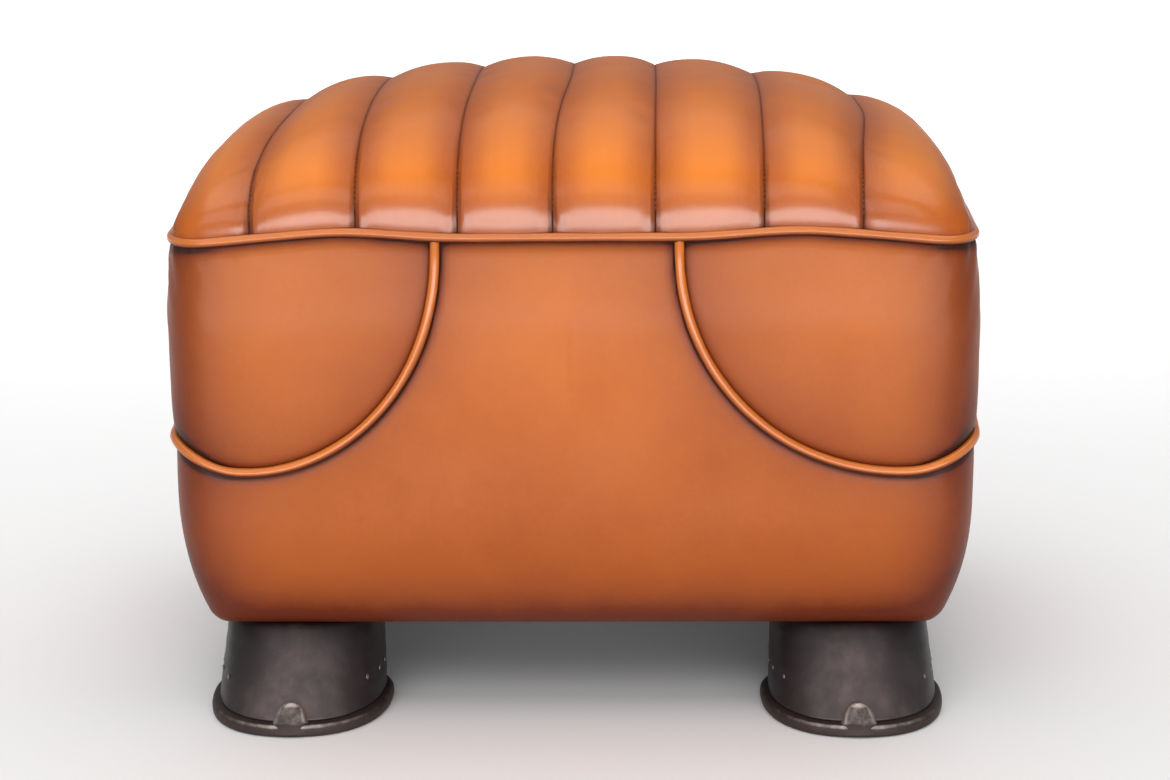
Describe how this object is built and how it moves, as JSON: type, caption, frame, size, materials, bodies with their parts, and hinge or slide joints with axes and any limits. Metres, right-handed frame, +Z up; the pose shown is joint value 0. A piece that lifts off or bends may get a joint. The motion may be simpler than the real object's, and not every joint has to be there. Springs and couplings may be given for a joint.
{
  "type": "footstool",
  "caption": "Rectangular leather footstool with a domed channelled seat, piped corner panels and shod horse-hoof feet",
  "frame": {"origin": "On the floor, under the middle of the stool", "axes": "+Z up, X across the width, +X to the right seen from the front, front towards -Y"},
  "size_m": [0.6134, 0.4732, 0.4664],
  "materials": {
    "seat_leather": "satin saddle leather, tan",
    "body_leather": "satin saddle leather, tan",
    "welt_leather": "satin saddle leather piping, burnished",
    "hoof_horn": "polished black-brown horn",
    "shoe_iron": "forged iron, worn bright at the clip",
    "nail_steel": "bare steel",
    "bright_steel": "zinc plated",
    "timber": "raw softwood",
    "plywood": "raw plywood",
    "foam": "open-cell foam",
    "filling": "polyester fibre roll",
    "webbing": "woven elastic webbing",
    "black_cloth": "black base cloth"
  },
  "bodies": {
    "root": {"back_board": "plywood", "base_board": "plywood", "base_cloth": "black_cloth", "body_cover": "body_leather", "channel_filling_1": "filling", "channel_filling_2": "filling", "channel_filling_3": "filling", "channel_filling_4": "filling", "channel_filling_5": "filling", "channel_filling_6": "filling", "channel_filling_7": "filling", "channel_filling_8": "filling", "corner_panel_back_left": "body_leather", "corner_panel_back_right": "body_leather", "corner_panel_front_left": "body_leather", "corner_panel_front_right": "body_leather", "corner_post_back_left": "timber", "corner_post_back_right": "timber", "corner_post_front_left": "timber", "corner_post_front_right": "timber", "corner_welt_back_left": "welt_leather", "corner_welt_back_right": "welt_leather", "corner_welt_front_left": "welt_leather", "corner_welt_front_right": "welt_leather", "cross_webbing": "webbing", "foot_studs": "bright_steel", "front_board": "plywood", "hoof_back_left": "hoof_horn", "hoof_back_right": "hoof_horn", "hoof_front_left": "hoof_horn", "hoof_front_right": "hoof_horn", "horseshoe_back_left": "shoe_iron", "horseshoe_back_right": "shoe_iron", "horseshoe_front_left": "shoe_iron", "horseshoe_front_right": "shoe_iron", "horseshoe_nails": "nail_steel", "left_board": "plywood", "long_webbing": "webbing", "padding_back": "foam", "padding_front": "foam", "padding_left": "foam", "padding_right": "foam", "right_board": "plywood", "seat_channel_1": "seat_leather", "seat_channel_2": "seat_leather", "seat_channel_3": "seat_leather", "seat_channel_4": "seat_leather", "seat_channel_5": "seat_leather", "seat_channel_6": "seat_leather", "seat_channel_7": "seat_leather", "seat_channel_8": "seat_leather", "seat_foam": "foam", "seat_welt": "welt_leather", "tee_nuts": "bright_steel"}
  },
  "joints": []
}
